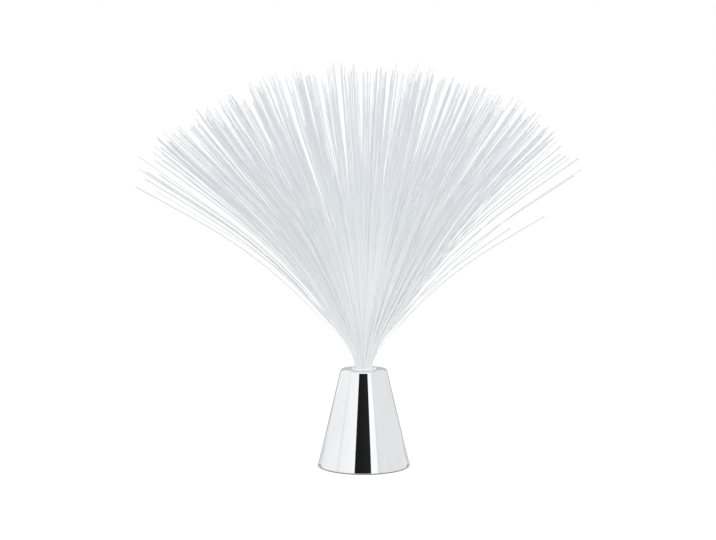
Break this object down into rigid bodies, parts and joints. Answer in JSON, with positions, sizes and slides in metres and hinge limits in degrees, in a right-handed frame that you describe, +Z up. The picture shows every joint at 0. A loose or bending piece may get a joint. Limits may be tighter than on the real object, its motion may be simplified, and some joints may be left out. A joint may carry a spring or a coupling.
{
  "type": "fiber optic lamp",
  "caption": "Battery lamp with a chromed conical base and a dome-shaped spray of light fibres that plugs into the mouth at its top.",
  "frame": {"origin": "on the floor under the lamp's axis, at the centre of its box's bottom", "axes": "+Z up along the cone's axis, -Y towards the front, +X towards the side that holds the slide switch"},
  "size_m": [0.3618, 0.3606, 0.3288],
  "materials": {
    "chrome_plating": "polished",
    "black_plastic": "satin",
    "white_plastic": "satin",
    "frosted_plastic": "satin",
    "rubber_pads": "matte",
    "zinc_plating": "satin",
    "nickel_plating": "satin",
    "cell_wrap": "satin",
    "phenolic_board": "matte",
    "circuit_board": "satin",
    "led_lens": "gloss",
    "resistor_body": "satin",
    "red_insulation": "satin",
    "black_insulation": "satin",
    "white_insulation": "satin",
    "light_fibre": "satin"
  },
  "bodies": {
    "base": {"base_shell": "chrome_plating", "base_plate": "black_plastic", "base_screw_1": "zinc_plating", "base_screw_2": "zinc_plating", "base_screw_3": "zinc_plating", "base_screw_4": "zinc_plating", "foot_1": "rubber_pads", "foot_2": "rubber_pads", "foot_3": "rubber_pads", "foot_4": "rubber_pads", "battery_1": "cell_wrap", "battery_2": "cell_wrap", "battery_3": "cell_wrap", "contact_positive": "nickel_plating", "contact_negative": "nickel_plating", "contact_link_1": "nickel_plating", "contact_link_2": "nickel_plating", "battery_spring_1": "nickel_plating", "battery_spring_2": "nickel_plating", "battery_spring_3": "nickel_plating", "switch_frame": "nickel_plating", "switch_base": "phenolic_board", "switch_pin_1": "nickel_plating", "switch_pin_2": "nickel_plating", "switch_pin_3": "nickel_plating", "led_holder": "white_plastic", "led_board": "circuit_board", "board_screw_1": "zinc_plating", "board_screw_2": "zinc_plating", "led": "led_lens", "resistor": "resistor_body", "wire_red": "red_insulation", "wire_black": "black_insulation", "wire_white": "white_insulation"},
    "switch": {"switch_slider": "black_plastic"},
    "door": {"battery_door": "black_plastic"},
    "collar": {"collar": "frosted_plastic"},
    "spray": {"ferrule_sleeve": "black_plastic", "fiber_bundle": "light_fibre", "fiber_spray": "light_fibre"}
  },
  "joints": [
    {"name": "switch_slide", "type": "slide", "parent": "base", "child": "switch", "axis": [0, -1, 0], "range_m": [0, 0.0025]},
    {"name": "door_hinge", "type": "hinge", "parent": "base", "child": "door", "pos_m": [0, -0.0234, 0.0024], "axis": [-1, 0, 0], "range_deg": [0, 85]},
    {"name": "collar_lift", "type": "slide", "parent": "base", "child": "collar", "axis": [0, 0, 1], "range_m": [0, 0.025]},
    {"name": "spray_turn", "type": "hinge", "parent": "collar", "child": "spray", "pos_m": [0, 0, 0.07], "axis": [0, 0, 1], "continuous": true}
  ]
}
